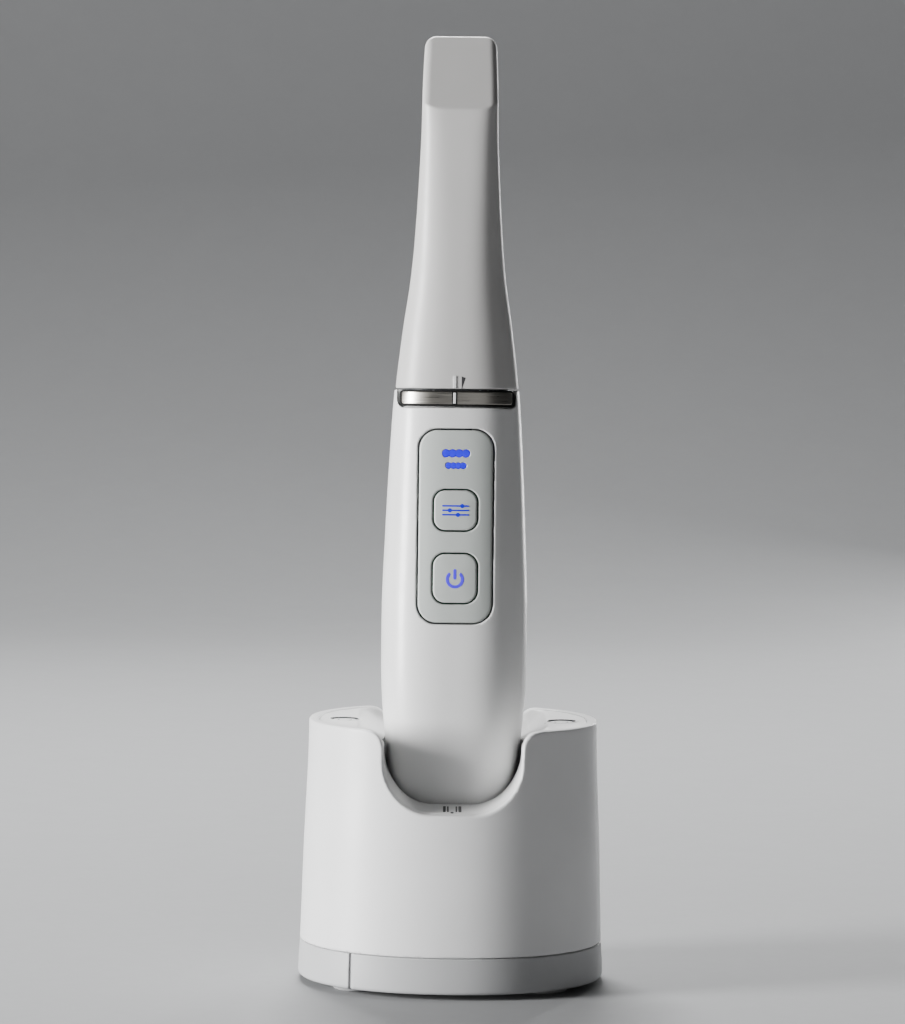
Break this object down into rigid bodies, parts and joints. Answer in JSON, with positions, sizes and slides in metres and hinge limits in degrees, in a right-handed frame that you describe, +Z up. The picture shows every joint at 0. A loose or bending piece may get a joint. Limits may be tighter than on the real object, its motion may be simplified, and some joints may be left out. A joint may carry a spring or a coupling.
{
  "type": "intraoral camera",
  "caption": "Handheld intraoral scanning camera with keypad, steel collar and slip-on mirror tip, standing tip-up in an oval desk cradle.",
  "frame": {"origin": "on the surface that the rubber feet stand on, under the centre of the oval cradle", "axes": "+Z up, along the standing wand; -Y towards the user, the side with the keypad and the deep U cut; +X to the right seen from the front"},
  "size_m": [0.0802, 0.0706, 0.2479],
  "materials": {
    "shell_white": "satin moulded white plastic",
    "insert_white": "fine satin moulded white plastic",
    "tip_white": "matte autoclavable white plastic",
    "skirt_grey": "fine matte light grey plastic",
    "panel_grey": "matte cool grey keypad film",
    "rubber_black": "matte black rubber",
    "rubber_grey": "matte light grey rubber",
    "collar_steel": "warm grey brushed steel",
    "screw_steel": "bright steel",
    "ballast_iron": "cast, as made",
    "frame_aluminium": "bead-blasted aluminium",
    "window_glass": "coated clear glass",
    "mirror": "front-surface mirror",
    "status_blue": "lit blue light guide",
    "board_green": "solder mask",
    "chip_black": "moulded package",
    "inner_plastic": "dark glass-filled plastic",
    "cell_wrap": "shrink-wrapped cell",
    "contact_brass": "gold-flashed brass"
  },
  "bodies": {
    "cradle": {"cradle_shell": "shell_white", "cradle_insert": "insert_white", "base_skirt": "skirt_grey", "base_plate": "inner_plastic", "ballast_weight": "ballast_iron", "foot_1": "rubber_grey", "foot_2": "rubber_grey", "foot_3": "rubber_grey", "foot_4": "rubber_grey", "base_screw_1": "screw_steel", "base_screw_2": "screw_steel", "base_screw_3": "screw_steel", "base_screw_4": "screw_steel", "screw_plug_left": "shell_white", "screw_plug_right": "shell_white", "insert_screw_left": "screw_steel", "insert_screw_right": "screw_steel"},
    "wand": {"body_front_shell": "shell_white", "body_rear_shell": "shell_white", "end_cap": "shell_white", "body_screw_1": "screw_steel", "body_screw_2": "screw_steel", "body_screw_3": "screw_steel", "body_screw_4": "screw_steel", "collar_gasket": "rubber_black", "collar_band": "collar_steel", "keypad_panel": "panel_grey", "status_light_guide": "status_blue", "keypad_board": "board_green", "mode_switch": "chip_black", "power_switch": "chip_black", "chassis_frame": "frame_aluminium", "main_board": "board_green", "processor_chip": "chip_black", "wireless_module": "screw_steel", "heat_sink": "frame_aluminium", "image_sensor_board": "board_green", "lens_barrel": "chip_black", "pattern_projector": "inner_plastic", "nose_tube": "inner_plastic", "nose_seal_ring": "rubber_black", "nose_window": "window_glass", "battery_cell": "cell_wrap", "battery_tray": "inner_plastic", "battery_contact_spring": "contact_brass", "battery_contact_plate": "contact_brass"},
    "tip": {"tip_sleeve": "tip_white", "tip_mirror": "mirror"},
    "mode_key": {"mode_button": "panel_grey"},
    "power_key": {"power_button": "panel_grey"}
  },
  "joints": [
    {"name": "wand_lift", "type": "slide", "parent": "cradle", "child": "wand", "axis": [0, 0.0436, 0.999], "range_m": [0, 0.06]},
    {"name": "tip_pull_off", "type": "slide", "parent": "wand", "child": "tip", "axis": [0, 0.0436, 0.999], "range_m": [0, 0.06]},
    {"name": "mode_press", "type": "slide", "parent": "wand", "child": "mode_key", "axis": [0, 0.999, -0.0436], "range_m": [0, 0.0004], "stiffness_N_per_m": 2500},
    {"name": "power_press", "type": "slide", "parent": "wand", "child": "power_key", "axis": [0, 0.999, -0.0436], "range_m": [0, 0.0004], "stiffness_N_per_m": 2500}
  ]
}
